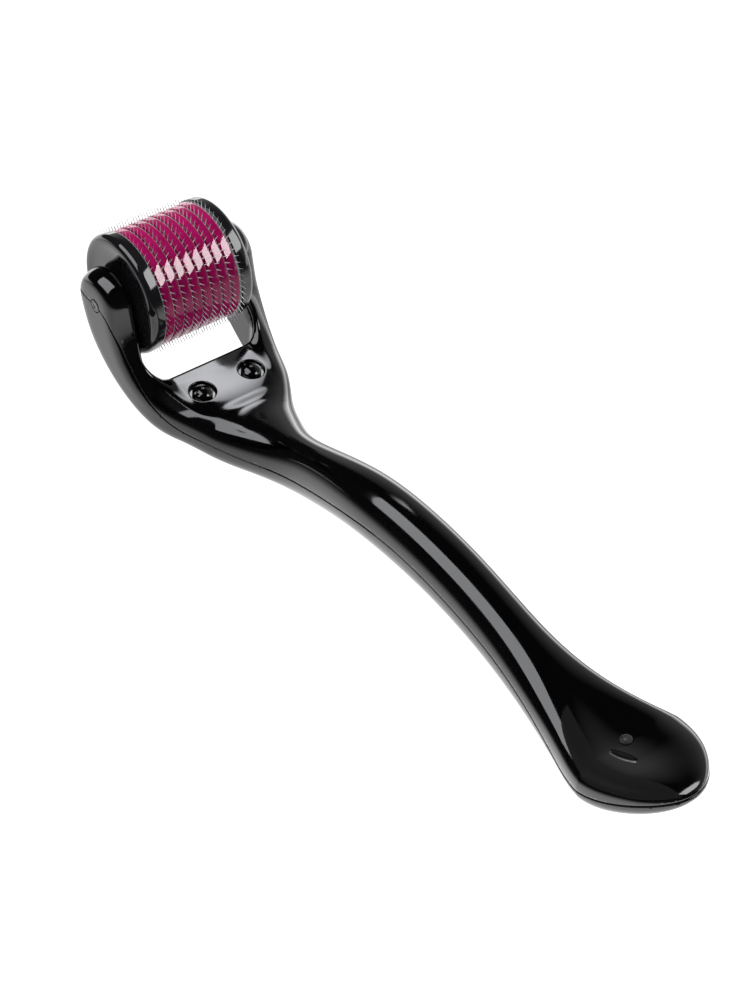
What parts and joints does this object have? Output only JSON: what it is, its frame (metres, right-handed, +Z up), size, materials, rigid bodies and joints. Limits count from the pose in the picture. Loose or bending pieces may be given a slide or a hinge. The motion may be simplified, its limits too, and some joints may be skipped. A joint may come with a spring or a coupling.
{
  "type": "derma roller",
  "caption": "Micro-needle skin roller: a magenta needle drum between black end flanges spins on an axle in the forked neck of a curved glossy black handle.",
  "frame": {"origin": "on the plane it lies on, below the middle of the overall length and on the plane of symmetry", "axes": "+Z up with the roller lying on its back, +X from the needle drum towards the tail, +Y along the drum's axle"},
  "size_m": [0.145, 0.0308, 0.0355],
  "materials": {
    "black_shell": "high gloss moulded black plastic",
    "black_trim": "high gloss moulded black plastic",
    "grey_pin": "satin grey pin end",
    "black_axle": "gloss black plastic pin",
    "black_core": "satin black plastic",
    "black_flange": "gloss black plastic",
    "steel_needles": "etched stainless steel",
    "magenta_disc": "gloss magenta plastic"
  },
  "bodies": {
    "handle": {"handle_front_shell": "black_shell", "handle_back_shell": "black_shell", "neck_stud_left": "black_trim", "neck_stud_right": "black_trim", "tail_pin": "grey_pin", "axle": "black_axle"},
    "roller": {"drum_core": "black_core", "flange_left": "black_flange", "flange_right": "black_flange", "needle_row_1": "steel_needles", "needle_row_2": "steel_needles", "needle_row_3": "steel_needles", "needle_row_4": "steel_needles", "needle_row_5": "steel_needles", "needle_row_6": "steel_needles", "needle_row_7": "steel_needles", "needle_row_8": "steel_needles", "needle_row_9": "steel_needles", "drum_disc_1": "magenta_disc", "drum_disc_2": "magenta_disc", "drum_disc_3": "magenta_disc", "drum_disc_4": "magenta_disc", "drum_disc_5": "magenta_disc", "drum_disc_6": "magenta_disc", "drum_disc_7": "magenta_disc", "drum_disc_8": "magenta_disc"}
  },
  "joints": [
    {"name": "roller_spin", "type": "hinge", "parent": "handle", "child": "roller", "pos_m": [-0.0603, 0, 0.0233], "axis": [0, 1, 0], "continuous": true}
  ]
}
